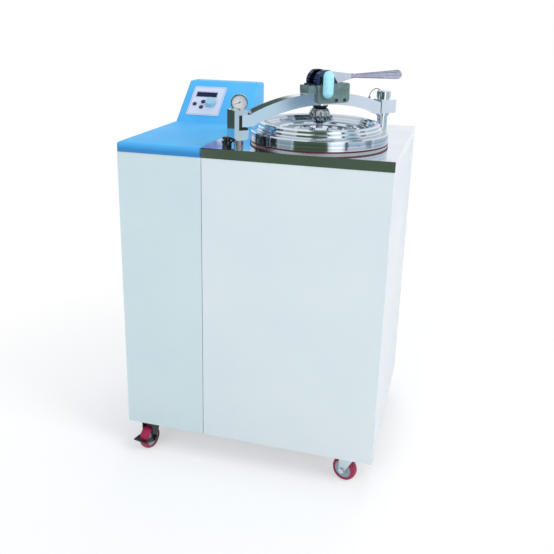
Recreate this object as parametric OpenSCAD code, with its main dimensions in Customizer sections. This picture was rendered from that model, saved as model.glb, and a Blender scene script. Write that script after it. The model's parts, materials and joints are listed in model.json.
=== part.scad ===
// Top-loading autoclave: a sheet-metal cabinet on casters, a sunk pressure vessel,
// a lid carried by a swing arm with a cam lever, and a blue control console.
// The origin is on the floor under the middle of the cabinet: +X right, +Y back, +Z up.

/* [Cabinet] */
// Depth of the cabinet
body_d = 560; // [460:5:640]
// Room between the drain valve and the floor pan
under_valve = 73; // [40:1:120]
// Height of the folded edge of the deck and of the console's lip
apron_h = 25; // [20:1:40]
// Thickness of the cabinet sheets
sheet_t = 1.5; // [1:0.1:2.5]
// Thickness of the stainless deck
deck_t = 2; // [1.5:0.1:3]
// Width of the left column, which carries the console
column_w = 228; // [190:1:270]
// Distance from the seam of the column to the vessel's axis
vessel_from_seam = 255; // [215:1:300]
// Deck between the lid and the right side of the cabinet
side_room = 39; // [32:1:60]
// Deck between the lid and the front of the cabinet
front_room = 7; // [5:1:30]

/* [Console] */
// Depth of the flat top of the console
tower_d = 52; // [42:1:70]
// Depth of the sloping panel, seen from above
slope_run = 123; // [110:1:140]
// Height of the console above the deck
tower_h = 110; // [95:1:130]
// Rounding of the console's edges
console_r = 8; // [5:0.5:12]
// Wall of the console cover
console_wall = 3; // [2:0.5:4]
// Width of the control plate
panel_w = 104; // [90:1:120]
// Height of the control plate
panel_h = 114; // [96:1:130]
// Radius of the push buttons
button_r = 6.5; // [5:0.5:7.5]
// Travel of the push buttons
button_travel = 2; // [1:0.1:2.5]
// Radius of the control knob
dial_knob_r = 17; // [13:0.5:19]
// Height of the control knob
dial_knob_h = 14; // [11:0.5:18]

/* [Vessel] */
// Inner radius of the vessel
vessel_r = 150; // [125:1:175]
// Wall of the vessel
vessel_wall = 3; // [2:0.5:4]
// Straight depth of the vessel below the deck
vessel_depth = 560; // [450:10:680]

/* [Lid] */
// Width of the vessel's flange, which the lid covers
flange_w = 28; // [24:1:34]
// Height of the lid's outer band
band_h = 26; // [22:1:30]
// Width of the band's flat top, outside the raised ring
band_ledge = 19; // [16:1:22]
// Height of the raised ring's top above the deck
tier_z = 54; // [50:1:56]
// Thickness of the gasket
gasket_t = 4; // [3:0.5:6]
// Radius of the spindle that carries the lid
spindle_r = 9; // [8:0.5:10.5]
// Lift of the lid when the lever is thrown
lid_lift = 10; // [8:0.5:11.5]

/* [Swing arm] */
// Direction of the arm in plan, from the catch to the post
arm_angle = 45; // [42:1:48]
// Radius of the arched beam's middle line
arc_r = 510; // [430:5:600]
// Height of the beam's middle line above the deck, at the crown
arm_crown = 113.5; // [110:0.5:130]
// Height of the beam's section
arm_h = 30; // [26:0.5:34]
// Thickness of the beam
arm_t = 34; // [28:0.5:40]
// Distance from the lid's edge to the post's axis
post_out = 25; // [24:1:40]
// Distance from the lid's edge to the tip of the arm
tip_out = 54; // [42:1:60]
// Radius of the post
post_r = 13.5; // [12:0.5:16]

/* [Lever] */
// Length of the lever, from its pivot to the end of the grip
lever_l = 256; // [215:2:300]
// Radius of the yoke's rounded legs
leg_r = 15; // [13:0.5:17.5]
// Radius of the grip's free end
grip_r = 12.5; // [11:0.5:14.5]

/* [Gauge] */
// Radius of the gauge case
gauge_r = 21; // [18:0.5:24]
// Height of the gauge's centre above the deck
gauge_z = 104.5; // [90:0.5:122]

/* [Casters] */
// Radius of the wheels
wheel_r = 34; // [29:0.5:39]
// Width of the wheels' treads
wheel_w = 28; // [24:0.5:33]
// Distance from the swivel axis to the axle
trail = 20; // [17:0.5:23]
// Room between a wheel and the fork's bridge
wheel_room = 8.7; // [6:0.1:12]

/* [Hidden] */
$fn = 64;

// Clearances and overruns
over = 1;
gap = 0.3;
run_clear = 0.05;
seam = 0.75;

// Casters' height
plate_t = 3;
bridge_t = 8;
caster_h = 2 * wheel_r + wheel_room + bridge_t + gap + plate_t;

// Cabinet
overhang = 1.5;
frame_bar = 24;
frame_h = 40;
frame_in = 3;
pan_t = 2;
dish_drop = 55;
drain_l = 34;
valve_h = 46;
lid_r = vessel_r + flange_w;
body_w = column_w + vessel_from_seam + lid_r + side_room;
body_h = frame_h + pan_t + under_valve + valve_h + drain_l + dish_drop + vessel_depth - apron_h;
cab_top = caster_h + body_h;
deck_z = cab_top + apron_h;
seam_x = column_w - body_w / 2;
left_x = -body_w / 2;
right_x = body_w / 2;
front_y = -body_d / 2;
back_y = body_d / 2;
return_l = 14;
louver_w = 90;
louver_h = 5;
louver_pitch = 18;
louver_count = 8;
louver_sink = 120;
screw_r = 3.2;
screw_t = 1.2;
screw_in = 22;

// Console
slope_a = atan(tower_h / slope_run);
slope_l = norm([slope_run, tower_h]);
ridge_y = back_y - tower_d;
foot_y = ridge_y - slope_run;
console_right = seam_x - seam;
console_left = left_x - overhang;
window_share = 0.84;
panel_t = 2;
panel_r = 4;
panel_from_left = 76;
panel_up = slope_l / 2;
display_w = 66;
display_h = 19;
display_t = 1.2;
display_share = [-0.05, 0.22];
button_shares = [[-0.33, -0.13], [-0.09, -0.04], [-0.10, -0.23]];
dial_knob_share = [0.16, -0.08];
button_proud = 2.5;
stem_below = 2.6;
board_t = 1.6;
board_room = 1.8;
board_drop = stem_below + button_travel + board_t + board_room;
board_share = 0.78;
encoder_r = 3;
encoder_len = 11;
spacer_r = 2.5;

// Vessel, lid and what they hold
vessel_x = seam_x + vessel_from_seam;
vessel_y = front_y + lid_r + front_room;
flange_edge = 2;
flange_r = lid_r - flange_edge;
flange_t = 4;
drain_r = 10;
heater_r = 100;
heater_tube_r = 5;
heater_up = 32;
floor_up = 60;
floor_plate_t = 2;
floor_hole_r = 7;
floor_rings_shares = [[0.3, 6], [0.66, 12]];
ledge = 4;
pipe_r = 8;
valve_r = 22;
outlet_r = 14;
socket_r = 6.5;
socket_l = 25;
lid_t = 5;
lid_base = flange_t + gap + gasket_t;
band_z = lid_base + band_h;
dish_sunk = 20;
dish_z = tier_z - dish_sunk;
gasket_edge = 2;
gasket_in = vessel_r + gasket_edge;
tier_r = lid_r - band_ledge;
step_in = 4;
step_z = (band_z + tier_z) / 2;
rim_r = tier_r - step_in;
rim_w = 10;
lid_edge = 3;
boss_r = 26;
boss_sunk = 14;
boss_z = tier_z - boss_sunk;
// The dish from its edge to the boss, above and below: shares of the vessel's radius and of the lid's wall
dish_shares = [[0.86, 0], [0.78, 0], [0.76, 0.6], [0.7, 0.6], [0.68, -0.2], [0.52, -0.6], [0.5, 0],
  [0.45, 0], [0.43, -1], [0.21, -1.6]];
under_shares = [[0.17, -3], [0.62, -2.6], [0.88, -1.8]];

// Swing arm, in the arm's own frame: +X runs from the vessel's axis to the post
arc_z = arm_crown - arc_r;
seat_z = arm_crown + arm_h / 2;
mid_low = arm_crown - arm_h / 2;
post_s = lid_r + post_out;
tip_s = lid_r + tip_out;
tip_l = 26;
tip_in = tip_s - tip_l;
tip_h = 28.5;
tip_low = arc_at(tip_in) - arm_h / 2;
block_in = 19;
block_out = 29;
block_over = 2;
block_w = arm_t + 2 * block_over;
block_h = 35;
block_rise = 5.3;
block_low = arc_at(post_s - block_in) + block_rise - block_h / 2;
seat_l = 72;
function arc_at(s) = arc_z + sqrt(arc_r * arc_r - s * s);
boss_drop = 2;
collar_r = 20;
collar_h = 6;
pin_r = 10;
cap_r = 18.5;
cap_h = 24;
cap_edge = 3;
post_foot_r = 21;
post_foot_h = 8;
post_collar_r = 17.5;
post_collar_h = 6;
post_stud_r = 8;
post_stud_l = 20;
pin_top = block_low + block_h + cap_h / 2;
ring_r = 22;
ring_wire_r = 1.2;
ring_in = 25.5;
ring_x = post_s - ring_in;
ring_up = 7;
ring_z = block_low + block_h + ring_up;
ring_from = 58;
ring_turn = 122;
ferrule_r = 3;
ferrule_h = 5;

// Catch
catch_past = 22;
catch_w = 38;
catch_web = 12;
catch_over = 3;
catch_t = arm_t + 2 * catch_over;
catch_room = 7.5;
catch_base = 24;
catch_lip = 12;
catch_out = tip_s + catch_past;
catch_in = catch_out - catch_w;
catch_floor = tip_low - catch_room;
catch_low = catch_floor - catch_base;
catch_top = tip_low + tip_h + catch_lip;
catch_cut = 6;
stud_r = 5;
stud_gap = 9;
stud_below = 12;
nut_r = 8;
nut_h = 6;

// Clamp head
cheek_t = 8;
head_w = arm_t + 2 * cheek_t;
head_left = 24;
head_right = 72;
head_drop = 11.5;
head_low = arm_crown - head_drop;
head_rise = 22.5;
head_top = seat_z + head_rise;
flange_left = 50;
head_flange_w = 40;
head_flange_h = 18.5;
barrel_r = 29;
pivot_up = 27.5;
pivot_z = seat_z + pivot_up;
cam_max = 24;
cam_min = cam_max - lid_lift;
cam_turn = 100;
cam_back = 300;
cam_blend = 45;
cam_w = 20;
cavity_r = 25;
shaft_r = 7;
cap_screw_r = 4;
cap_screw_h = 4;
nose_screw_up = 7;
nose_screw_shares = [0.45, 0.8];

// Lever
leg_t = 8;
leg_gap = 0.4;
leg_below = 26;
leg_low_z = pivot_z - leg_below;
leg_above = 12;
leg_top_z = pivot_z + leg_above;
lever_up = 10;
lever_z = pivot_z + lever_up;
neck_s = 88;
neck_r = 6.5;
wedge_s = 34;
wedge_drop = 4.3;
wedge_low = pivot_z - wedge_drop;
wedge_root = 4;
cover_over = 1;
cover_r = leg_r + cover_over;
cover_sink = 4;
rod_r = 4.5;
rod_l = 70;

// Clamp knob
dome_r = 5;
knob_low = 52;
knob_r = 27.5;
knob_h = mid_low - boss_drop - collar_h - knob_low - gap;
knob_neck_share = 0.62;
flute_r = 4.5;
flutes = 12;

// Gauge, in the arm's own frame
gauge_out = 25.2;
gauge_s = -lid_r - gauge_out;
gauge_side = 54.7;
gauge_yaw = 15;
gauge_d = 20;
gauge_wall = 2.5;
bezel_t = 3;
dial_t = 1;
needle_t = 0.6;
needle_w = 1.6;
lens_t = 1.5;
stem_r = 6;
stem_base_r = 13;
stem_base_h = 24;
stem_down = 45;
relief_out = 69.5;
relief_s = -lid_r - relief_out;
relief_side = 34;
relief_r = 13;
relief_h = 26;
link_r = 4.5;

// Casters
plate_l = 54;
plate_w = 46;
kingpin_r = 6;
kingpin_head_r = 9;
kingpin_head_h = 3;
fork_t = 3;
fork_room = 1.2;
axle_r = 5;
axle_head_r = 8;
axle_head_h = 4.4;
core_r = 25;
pedal_t = 2.5;
pedal_out = 11.5;
pedal_l = trail + wheel_r + pedal_out;
pedal_inset = 2;
pedal_pad_t = 4;
pedal_rise = 6.5;
hub_r = 9;
caster_side_in = 58;
caster_front_in = 38;
// Side, end, resting direction and brake of each caster: front left, front right, rear left, rear right
CASTERS = [[-1, -1, 258, true], [1, -1, 159, false], [-1, 1, 90, false], [1, 1, 90, false]];
// The rear wheels reach as far back as the front pedal reaches forward
reach = -front_y - caster_front_in - pedal_l * sin(CASTERS[0][2]) - pedal_half() * cos(CASTERS[0][2]);
rear_pin = reach - trail - wheel_r;

// Frames of reference
module at_arm() {
  translate([vessel_x, vessel_y, deck_z]) rotate([0, 0, arm_angle]) children();
}
module at_panel(place = [0, 0]) {
  translate([left_x + panel_from_left, foot_y, deck_z]) rotate([slope_a, 0, 0])
    translate([place[0], panel_up + place[1], 0]) children();
}
module at_gauge() {
  at_arm() translate([gauge_s, gauge_side, gauge_z]) rotate([0, 0, gauge_yaw - arm_angle])
    rotate([90, 0, 0]) children();
}
module at_caster(i) {
  x = CASTERS[i][0] * (body_w / 2 - caster_side_in);
  y = CASTERS[i][1] > 0 ? rear_pin : front_y + caster_front_in;
  translate([x, y, 0]) children();
}
module turned(i) {
  at_caster(i) rotate([0, 0, CASTERS[i][2]]) children();
}
// A shape drawn in X and Z of the arm's frame, with its thickness along Y
module along_y(t, at = 0) {
  translate([0, at + t / 2, 0]) rotate([90, 0, 0]) linear_extrude(t) children();
}
module rod_y(r, l) {
  rotate([90, 0, 0]) translate([0, 0, -l / 2]) cylinder(r = r, h = l);
}
// A flat slab with rounded corners, centred
module slab(w, h, t, r) {
  linear_extrude(t) union() {
    square([w - 2 * r, h], center = true);
    square([w, h - 2 * r], center = true);
    for (x = [-1, 1], y = [-1, 1]) translate([x * (w / 2 - r), y * (h / 2 - r)]) circle(r);
  }
}

// Welded tube ring that carries everything, with the casters under its corners
module base_frame() {
  color("dimgray") translate([0, 0, caster_h]) difference() {
    translate([left_x + frame_in, front_y + frame_in, 0])
      cube([body_w - 2 * frame_in, body_d - 2 * frame_in, frame_h]);
    translate([left_x + frame_in + frame_bar, front_y + frame_in + frame_bar, -over])
      cube([body_w - 2 * (frame_in + frame_bar), body_d - 2 * (frame_in + frame_bar), frame_h + 2 * over]);
  }
}
module floor_pan() {
  color("silver") translate([left_x + frame_in, front_y + frame_in, caster_h + frame_h])
    cube([body_w - 2 * frame_in, body_d - 2 * frame_in, pan_t]);
}
// Two welded goalposts, front and back, that stand on the base and carry the top
module upper_frame() {
  low = caster_h + frame_h + pan_t;
  color("dimgray") for (y = [0, 1]) {
    for (x = [0, 1])
      translate([left_x + frame_in + x * (body_w - 2 * frame_in - frame_bar),
                 front_y + frame_in + y * (body_d - 2 * frame_in - frame_bar), low])
        cube([frame_bar, frame_bar, cab_top - low]);
    translate([left_x + frame_in, front_y + frame_in + y * (body_d - 2 * frame_in - frame_bar),
               cab_top - frame_bar])
      cube([body_w - 2 * frame_in, frame_bar, frame_bar]);
  }
}
// A sheet panel facing -Y, from x0 to x1, with folded returns that are notched round the frame
module front_sheet(x0, x1) {
  notch_x = left_x + frame_in - gap;
  notch_w = body_w - 2 * (frame_in - gap);
  difference() {
    translate([x0, front_y, caster_h]) cube([x1 - x0, return_l, body_h]);
    translate([x0 + sheet_t, front_y + sheet_t, caster_h - over])
      cube([x1 - x0 - 2 * sheet_t, return_l, body_h + 2 * over]);
    translate([notch_x, front_y + frame_in - gap, caster_h - over])
      cube([notch_w, return_l, frame_h + pan_t + gap + over]);
    translate([notch_x, front_y + frame_in - gap, cab_top - frame_bar - gap])
      cube([notch_w, return_l, frame_bar + gap + over]);
  }
}
module front_panel_left() {
  color("aliceblue") front_sheet(left_x, seam_x - seam);
}
module front_panel_right() {
  color("aliceblue") front_sheet(seam_x + seam, right_x);
}
module side_sheet(x) {
  translate([x, front_y + return_l + seam, caster_h])
    cube([sheet_t, body_d - return_l - seam, body_h]);
}
module side_panel_left() {
  color("white") side_sheet(left_x);
}
module side_panel_right() {
  color("white") side_sheet(right_x - sheet_t);
}
// The rear sheet has two columns of louvres and the holes of the outlet and its screws
module rear_panel() {
  color("white") difference() {
    translate([left_x + sheet_t, back_y - sheet_t, caster_h])
      cube([body_w - 2 * sheet_t, sheet_t, body_h]);
    for (side = [-1, 1], i = [0 : louver_count - 1])
      translate([side * body_w / 4 - louver_w / 2, back_y - sheet_t - over,
                 cab_top - louver_sink - i * louver_pitch])
        cube([louver_w, sheet_t + 2 * over, louver_h]);
    translate([vessel_x, back_y - sheet_t / 2, outlet_z()]) rod_y(pipe_r + run_clear, sheet_t + 2 * over);
  }
}
module panel_screws() {
  color("silver") for (x = [-1, 1], z = [0 : 3])
    translate([x * (body_w / 2 - screw_in), back_y + screw_t / 2,
               caster_h + screw_in + z * (body_h - 2 * screw_in) / 3])
      rod_y(screw_r, screw_t);
}

// Stainless tray with a folded skirt, cut for the vessel and for what is bolted on it
module deck() {
  x0 = seam_x;
  w = right_x + overhang - x0;
  y0 = front_y - overhang;
  d = body_d + 2 * overhang;
  color("slategray") difference() {
    translate([x0, y0, cab_top]) cube([w, d, apron_h]);
    translate([x0 + deck_t, y0 + deck_t, cab_top - over])
      cube([w - 2 * deck_t, d - 2 * deck_t, apron_h - deck_t + over]);
    translate([vessel_x, vessel_y, cab_top]) cylinder(r = vessel_r + vessel_wall + gap, h = apron_h + over);
    at_arm() {
      translate([post_s, 0, -deck_t - over]) cylinder(r = post_stud_r + gap, h = deck_t + 2 * over);
      translate([gauge_s, gauge_side, -deck_t - over]) cylinder(r = stem_r + gap, h = deck_t + 2 * over);
      for (y = [-1, 1])
        translate([-stud_s(), y * stud_gap, -deck_t - over])
          cylinder(r = stud_r + gap, h = deck_t + 2 * over);
    }
  }
}

// Moulded cover: a low lip level with the deck, and a sloping tower behind it
module console_block(r, x0, x1, low) {
  y0 = front_y - overhang + console_r;
  y1 = back_y + overhang - console_r;
  bend = console_r * tan(slope_a / 2);
  hull() for (x = [x0, x1], y = [y0, y1]) {
    translate([x, y, low]) cylinder(r = r, h = apron_h, $fn = 24);
    translate([x, y, deck_z - console_r]) sphere(r, $fn = 24);
  }
  hull() for (x = [x0, x1]) {
    for (y = [foot_y + bend, y1]) translate([x, y, low]) cylinder(r = r, h = over, $fn = 24);
    translate([x, foot_y + bend, deck_z - console_r]) sphere(r, $fn = 24);
    for (y = [ridge_y + bend, y1]) translate([x, y, deck_z + tower_h - console_r]) sphere(r, $fn = 24);
  }
}
module console_cover() {
  x0 = console_left + console_r;
  x1 = console_right - console_r;
  color("deepskyblue") difference() {
    intersection() {
      console_block(console_r, x0, x1, cab_top - apron_h / 4);
      translate([console_left - over, front_y - 2 * overhang, cab_top])
        cube([column_w + 2 * overhang, body_d + 4 * overhang, apron_h + tower_h + over]);
    }
    console_block(console_r - console_wall, x0, x1, cab_top - apron_h / 2);
    at_panel() translate([-panel_w * window_share / 2, -panel_h * window_share / 2, -2 * console_wall])
      cube([panel_w * window_share, panel_h * window_share, 3 * console_wall]);
  }
}
module control_plate() {
  color("lavender") at_panel() difference() {
    slab(panel_w, panel_h, panel_t, panel_r);
    translate([display_share[0] * panel_w, display_share[1] * panel_h, panel_t / 2])
      cube([display_w, display_h, panel_t + 2 * over], center = true);
    for (s = button_shares)
      translate([s[0] * panel_w, s[1] * panel_h, -over])
        cylinder(r = button_r + 2 * run_clear, h = panel_t + 2 * over);
    translate([dial_knob_share[0] * panel_w, dial_knob_share[1] * panel_h, -over])
      cylinder(r = encoder_r + gap, h = panel_t + 2 * over);
  }
}
// Circuit board behind the plate, with its spacers and the encoder's shaft
module control_board() {
  w = panel_w * board_share;
  h = panel_h * board_share;
  color("darkgreen") at_panel() {
    translate([-w / 2, -h / 2, -board_drop]) cube([w, h, board_t]);
    for (x = [-1, 1], y = [-1, 1])
      translate([x * (w / 2 - spacer_r), y * (h / 2 - spacer_r), board_t - board_drop])
        cylinder(r = spacer_r, h = board_drop - board_t);
    translate([dial_knob_share[0] * panel_w, dial_knob_share[1] * panel_h, board_t - board_drop])
      cylinder(r = encoder_r, h = board_drop - board_t + encoder_len);
  }
}
module display_window() {
  color("midnightblue") at_panel([display_share[0] * panel_w, display_share[1] * panel_h])
    translate([-display_w / 2, -display_h / 2, 0]) cube([display_w, display_h, display_t]);
}
module push_button(i) {
  color("darkslateblue") at_panel([button_shares[i][0] * panel_w, button_shares[i][1] * panel_h])
    translate([0, 0, -stem_below]) {
      cylinder(r = button_r, h = stem_below + panel_t + button_proud * 0.7);
      cylinder(r = button_r * 0.85, h = stem_below + panel_t + button_proud);
    }
}
module button_left() { push_button(0); }
module button_upper() { push_button(1); }
module button_lower() { push_button(2); }
module control_knob() {
  color("lightsteelblue") at_panel([dial_knob_share[0] * panel_w, dial_knob_share[1] * panel_h])
    translate([0, 0, panel_t + gap]) difference() {
      rotate_extrude() polygon([[0, 0], [dial_knob_r, 0], [dial_knob_r, dial_knob_h * 0.3],
        [dial_knob_r * 0.86, dial_knob_h * 0.85], [dial_knob_r * 0.76, dial_knob_h], [0, dial_knob_h]]);
      translate([0, 0, -over]) cylinder(r = encoder_r + run_clear, h = encoder_len - panel_t + over);
      for (a = [0 : 30 : 330]) rotate([0, 0, a]) translate([dial_knob_r * 1.04, 0, -over])
        cylinder(r = dial_knob_r * 0.1, h = dial_knob_h * 0.6);
    }
}

// Deep stainless vessel with a dished bottom, a flange at the deck and a drain stub
function vessel_low() = -vessel_depth - dish_drop;
function outlet_z() = deck_z + vessel_low() - drain_l - valve_h / 2;
module dish(r, drop, t) {
  sphere_r = (r * r + drop * drop) / (2 * drop);
  translate([0, 0, -vessel_depth]) intersection() {
    difference() {
      translate([0, 0, sphere_r - drop]) sphere(sphere_r, $fn = 96);
      translate([0, 0, sphere_r - drop]) sphere(sphere_r - t, $fn = 96);
    }
    translate([0, 0, -drop - over]) cylinder(r = r, h = drop + over);
  }
}
module vessel() {
  r = vessel_r + vessel_wall;
  color("silver") translate([vessel_x, vessel_y, deck_z]) difference() {
    union() {
      difference() {
        translate([0, 0, -vessel_depth]) cylinder(r = r, h = vessel_depth + flange_t);
        translate([0, 0, -vessel_depth - over])
          cylinder(r = vessel_r, h = vessel_depth + flange_t + 2 * over);
      }
      dish(r, dish_drop, vessel_wall);
      difference() {
        cylinder(r = flange_r, h = flange_t);
        translate([0, 0, -over]) cylinder(r = vessel_r, h = flange_t + 2 * over);
      }
      translate([0, 0, floor_up - vessel_depth]) difference() {
        cylinder(r = vessel_r + vessel_wall / 2, h = ledge);
        translate([0, 0, -over]) cylinder(r = vessel_r - 2 * ledge, h = ledge + 2 * over);
      }
      translate([0, 0, vessel_low() - drain_l])
        cylinder(r = drain_r + vessel_wall, h = drain_l + vessel_wall);
    }
    translate([0, 0, vessel_low() - drain_l - over])
      cylinder(r = drain_r, h = drain_l + vessel_wall + 2 * over);
  }
}
// Immersion heater: an open ring with two legs that stand on the vessel's bottom
module heater_coil() {
  color("gray") translate([vessel_x, vessel_y, deck_z - vessel_depth]) {
    translate([0, 0, heater_up]) rotate([0, 0, 20]) rotate_extrude(angle = 320)
      translate([heater_r, 0]) circle(heater_tube_r);
    for (a = [20, 340]) rotate([0, 0, a]) translate([heater_r, 0, -leg_down()])
      cylinder(r = heater_tube_r, h = heater_up + leg_down());
  }
}
// Depth of the dished bottom under the heater's legs, a little clear of its wall
function leg_down() = let (r = vessel_r + vessel_wall,
    ball = (r * r + dish_drop * dish_drop) / (2 * dish_drop), far = heater_r + heater_tube_r)
  sqrt(pow(ball - vessel_wall, 2) - far * far) - (ball - dish_drop) - gap;
module chamber_floor() {
  plate_z = deck_z - vessel_depth + floor_up + ledge;
  color("lightgray") translate([vessel_x, vessel_y, plate_z]) difference() {
    cylinder(r = vessel_r - gap, h = floor_plate_t);
    for (ring = floor_rings_shares, i = [0 : ring[1] - 1]) rotate([0, 0, i * 360 / ring[1]])
      translate([ring[0] * vessel_r, 0, -over]) cylinder(r = floor_hole_r, h = floor_plate_t + 2 * over);
  }
}
// Drain valve under the vessel and its pipe to a socket in the rear panel
module drain_pipe() {
  z = outlet_z();
  color("darkgoldenrod") difference() {
    union() {
      translate([vessel_x, vessel_y, z - valve_h / 2]) cylinder(r = valve_r, h = valve_h);
      translate([vessel_x, (vessel_y + back_y) / 2, z]) rod_y(pipe_r, back_y - vessel_y);
      translate([vessel_x, back_y + overhang / 2, z]) rod_y(outlet_r, overhang);
    }
    translate([vessel_x, back_y + overhang - socket_l / 2, z]) rod_y(socket_r, socket_l + 2 * over);
  }
}

// Pressure gauge on its stem, beside the catch
module gauge_stem() {
  reach = norm([gauge_s, gauge_side]) - vessel_r - vessel_wall;
  toward = atan2(-gauge_side, -gauge_s);
  color("silver") at_arm() translate([gauge_s, gauge_side, 0]) {
    cylinder(r = stem_base_r, h = stem_base_h, $fn = 6);
    translate([0, 0, -stem_down]) cylinder(r = stem_r, h = stem_down + gauge_z - gauge_r);
    translate([0, 0, -stem_down]) sphere(stem_r);
    translate([0, 0, -stem_down]) rotate([0, 0, toward]) rotate([0, 90, 0]) cylinder(r = stem_r, h = reach);
    translate([0, 0, gauge_z - gauge_r - stem_r]) cylinder(r = stem_base_r * 0.7, h = stem_r, $fn = 6);
  }
}
module gauge_case() {
  color("silver") at_gauge() difference() {
    union() {
      translate([0, 0, -gauge_d / 2]) cylinder(r = gauge_r - gauge_wall / 2, h = gauge_d);
      translate([0, 0, gauge_d / 2 - bezel_t]) cylinder(r = gauge_r, h = bezel_t);
    }
    translate([0, 0, gauge_wall - gauge_d / 2]) cylinder(r = gauge_r - gauge_wall, h = gauge_d);
  }
}
module gauge_dial() {
  color("white") at_gauge() translate([0, 0, gauge_d / 2 - gauge_d * 0.45]) difference() {
    cylinder(r = gauge_r - gauge_wall - run_clear, h = dial_t);
    translate([0, 0, -over]) cylinder(r = needle_w / 2 + run_clear, h = dial_t + 2 * over);
  }
}
// Black pointer on a pin that runs through the dial
module gauge_needle() {
  base = gauge_d / 2 - gauge_d * 0.45 + dial_t + gap;
  color("black") at_gauge() {
    translate([0, 0, base - dial_t - 3 * gap - needle_w])
      cylinder(r = needle_w / 2, h = dial_t + 3 * gap + needle_w);
    translate([0, 0, base]) cylinder(r = 1.4 * needle_w, h = needle_t);
    translate([0, 0, base]) linear_extrude(needle_t) rotate([0, 0, 202])
      polygon([[-gauge_r * 0.25, needle_w / 2], [-gauge_r * 0.25, -needle_w / 2],
        [gauge_r * 0.6, -needle_w / 5], [gauge_r * 0.6, needle_w / 5]]);
  }
}
module gauge_lens() {
  color("azure", 0.35) at_gauge() translate([0, 0, gauge_d / 2 - lens_t - gap])
    cylinder(r = gauge_r - gauge_wall - run_clear, h = lens_t);
}
// Stacked relief valve: a hexagon, a drum, a groove and a cap
module relief_valve() {
  color("gray") at_arm() translate([relief_s, relief_side, 0]) {
    cylinder(r = relief_r, h = relief_h * 0.25, $fn = 6);
    rotate_extrude() polygon([[0, 0], [relief_r * 0.75, 0], [relief_r * 0.75, relief_h * 0.32],
      [relief_r, relief_h * 0.36], [relief_r, relief_h * 0.6], [relief_r * 0.6, relief_h * 0.64],
      [relief_r * 0.6, relief_h * 0.74], [relief_r * 0.9, relief_h * 0.78],
      [relief_r * 0.9, relief_h * 0.92], [relief_r * 0.55, relief_h], [0, relief_h]]);
    translate([0, 0, relief_h / 2]) rotate([0, 0, atan2(gauge_side - relief_side, gauge_s - relief_s)])
      rotate([0, 90, 0]) cylinder(r = link_r, h = link_l());
  }
}
// Length of the short tube from the valve to the gauge's stem
function link_l() = norm([gauge_s - relief_s, gauge_side - relief_side]) - stem_base_r - gap;

// Catch: a channel that holds the tip of the arm down, open towards the lid
function stud_s() = (catch_out + catch_in) / 2;
module catch_block() {
  color("gainsboro") at_arm() along_y(catch_t) polygon([
    [-catch_out, catch_low + catch_cut], [-catch_out + catch_cut, catch_low],
    [-catch_in - catch_cut, catch_low], [-catch_in, catch_low + catch_cut],
    [-catch_in, catch_floor], [-catch_out + catch_web, catch_floor],
    [-catch_out + catch_web, tip_low + tip_h + gap], [-catch_in - catch_cut / 2, tip_low + tip_h + gap],
    [-catch_in - catch_cut / 2, catch_top], [-catch_out, catch_top]]);
}
module catch_studs() {
  color("silver") at_arm() for (y = [-1, 1]) translate([-stud_s(), y * stud_gap, -deck_t - stud_below]) {
    cylinder(r = stud_r, h = catch_low + deck_t + stud_below);
    translate([0, 0, stud_below - nut_h]) cylinder(r = nut_r, h = nut_h, $fn = 6);
  }
}
// Post that the arm swings on: foot, column, collar and pin in one turned piece
module pivot_post() {
  color("silver") at_arm() translate([post_s, 0, 0]) {
    translate([0, 0, -deck_t - post_stud_l]) cylinder(r = post_stud_r, h = deck_t + post_stud_l + over);
    translate([0, 0, -deck_t - nut_h]) cylinder(r = 2 * post_stud_r, h = nut_h, $fn = 6);
    cylinder(r = post_foot_r, h = post_foot_h);
    cylinder(r = post_r, h = block_low - gap);
    translate([0, 0, block_low - gap - post_collar_h]) cylinder(r = post_collar_r, h = post_collar_h);
    cylinder(r = pin_r, h = pin_top);
  }
}

// Arched beam: flat tip, arc, machined seat for the head, and the block at the post
module swing_arm() {
  color("gainsboro") at_arm() difference() {
    union() {
      along_y(arm_t) union() {
        intersection() {
          difference() {
            translate([0, arc_z]) circle(arc_r + arm_h / 2, $fn = 180);
            translate([0, arc_z]) circle(arc_r - arm_h / 2, $fn = 180);
          }
          translate([-tip_in, 0]) square([tip_in + post_s - block_in + over, arm_crown + arm_h]);
        }
        translate([-tip_s, tip_low]) square([tip_s - tip_in + over, tip_h]);
        translate([-flange_left, arm_crown]) square([flange_left + seat_l, arm_h / 2]);
      }
      translate([post_s - block_in, -block_w / 2, block_low])
        cube([block_in + block_out, block_w, block_h]);
      translate([0, 0, mid_low - boss_drop]) cylinder(r = collar_r, h = boss_drop + over);
    }
    translate([0, 0, mid_low - boss_drop - over])
      cylinder(r = spindle_r + run_clear, h = arm_h + boss_drop + 2 * over);
    translate([post_s, 0, block_low - over]) cylinder(r = pin_r + run_clear, h = block_h + 2 * over);
  }
}
module pivot_cap() {
  color("silver") at_arm() translate([post_s, 0, block_low + block_h]) difference() {
    rotate_extrude() polygon([[0, 0], [cap_r - cap_edge / 2, 0], [cap_r - cap_edge / 2, cap_h / 4],
      [cap_r, cap_h / 4], [cap_r, cap_h - cap_edge], [cap_r - cap_edge, cap_h], [0, cap_h]]);
    translate([0, 0, -over]) cylinder(r = pin_r + gap, h = over + cap_h / 2 + gap);
  }
}
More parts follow.
